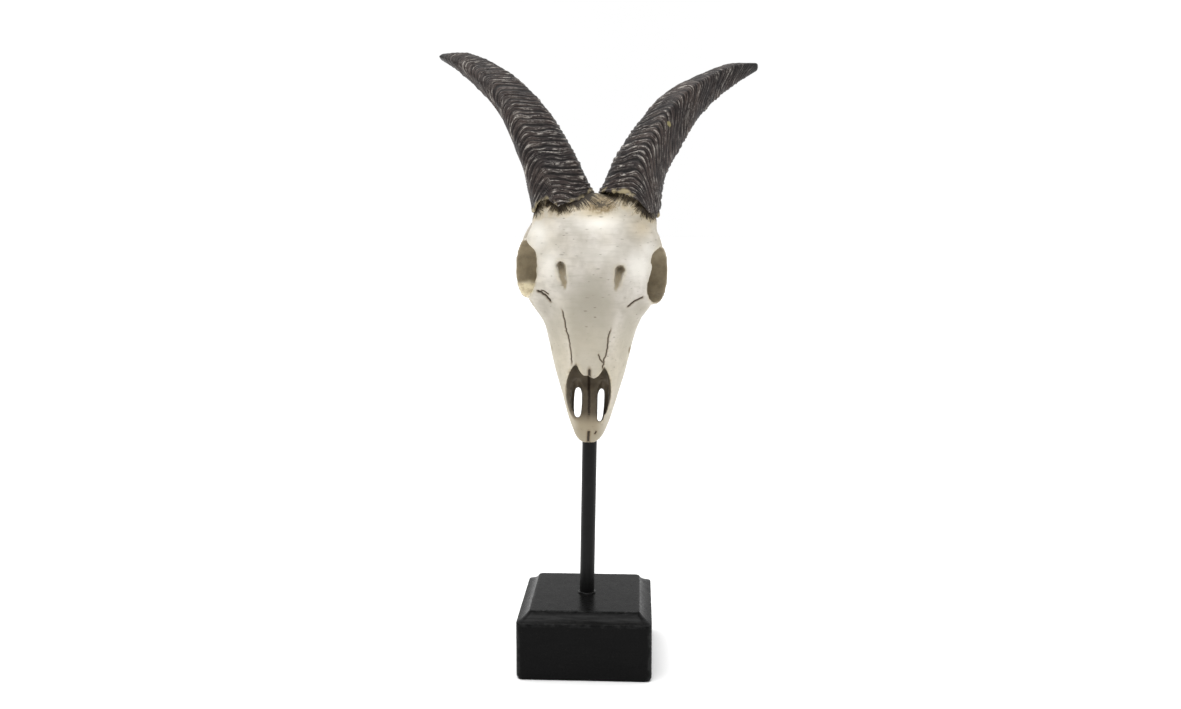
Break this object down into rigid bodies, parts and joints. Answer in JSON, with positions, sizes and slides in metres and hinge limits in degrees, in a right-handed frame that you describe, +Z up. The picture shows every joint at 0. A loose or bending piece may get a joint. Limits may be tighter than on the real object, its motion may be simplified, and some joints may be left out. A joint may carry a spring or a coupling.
{
  "type": "goat skull ornament on stand",
  "caption": "Small cast-resin ornament: a horned goat skull held upright on a thin black rod above a square moulded base block.",
  "frame": {"origin": "centre of the base block's underside, which rests on the table", "axes": "+Z up along the stand; the face looks along -Y; +X is to the right of someone facing the skull"},
  "size_m": [0.1318, 0.059, 0.2468],
  "materials": {
    "skull": "cream cast resin with a faint satin sheen and a brown wash in its hollows",
    "horns": "dark brown-grey cast resin, lighter on the rings",
    "rod": "satin black",
    "base": "satin black paint"
  },
  "bodies": {
    "root": {"skull": "skull", "horn_left": "horns", "horn_right": "horns", "rod": "rod", "base_block": "base"}
  },
  "joints": []
}
